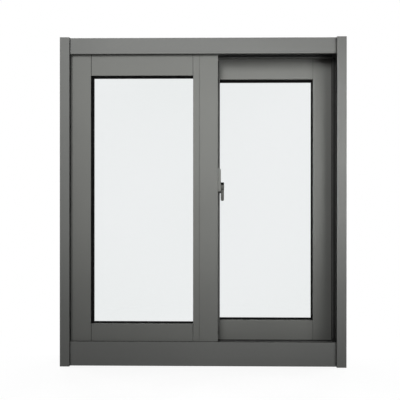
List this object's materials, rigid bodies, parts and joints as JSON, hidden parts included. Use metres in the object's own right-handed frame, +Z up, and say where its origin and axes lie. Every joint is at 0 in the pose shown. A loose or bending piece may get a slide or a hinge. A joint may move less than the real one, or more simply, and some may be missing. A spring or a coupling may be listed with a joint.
{
  "type": "horizontal sliding window",
  "caption": "Horizontal sliding window: a hollow aluminium frame with two tracks, glazed sashes that overlap at their meeting stiles, and a crescent latch.",
  "frame": {"origin": "middle of the footprint of the frame, at the underside of the sill", "axes": "+X to the right seen from the room, +Y from the room to the outside, +Z up"},
  "size_m": [0.86, 0.122, 0.99],
  "materials": {
    "frame_paint": "satin",
    "sash_paint": "satin",
    "glass": "clear",
    "gasket_rubber": "matte",
    "pile": "matte",
    "rail_aluminium": "satin",
    "roller": "satin",
    "latch_paint": "satin",
    "lever_paint": "satin",
    "cap_plastic": "satin",
    "pin_steel": "satin"
  },
  "bodies": {
    "root": {"left_jamb": "frame_paint", "right_jamb": "frame_paint", "head": "frame_paint", "sill": "frame_paint", "front_track_rail": "rail_aluminium", "rear_track_rail": "rail_aluminium", "head_pile_seals": "pile", "sill_pile_seals": "pile", "left_jamb_pile_seals": "pile", "right_jamb_pile_seals": "pile", "left_sash_jamb_stile": "sash_paint", "left_sash_meeting_stile": "sash_paint", "left_sash_top_rail": "sash_paint", "left_sash_bottom_rail": "sash_paint", "left_sash_interlock": "sash_paint", "left_sash_glass": "glass", "left_sash_front_gasket": "gasket_rubber", "left_sash_rear_gasket": "gasket_rubber", "left_sash_rollers": "roller", "right_sash_jamb_stile": "sash_paint", "right_sash_meeting_stile": "sash_paint", "right_sash_top_rail": "sash_paint", "right_sash_bottom_rail": "sash_paint", "right_sash_interlock": "sash_paint", "right_sash_glass": "glass", "right_sash_front_gasket": "gasket_rubber", "right_sash_rear_gasket": "gasket_rubber", "right_sash_rollers": "roller", "latch_base": "latch_paint", "latch_lever": "lever_paint", "latch_lever_cap": "cap_plastic", "latch_pivot": "pin_steel", "latch_keeper": "latch_paint"}
  },
  "joints": []
}
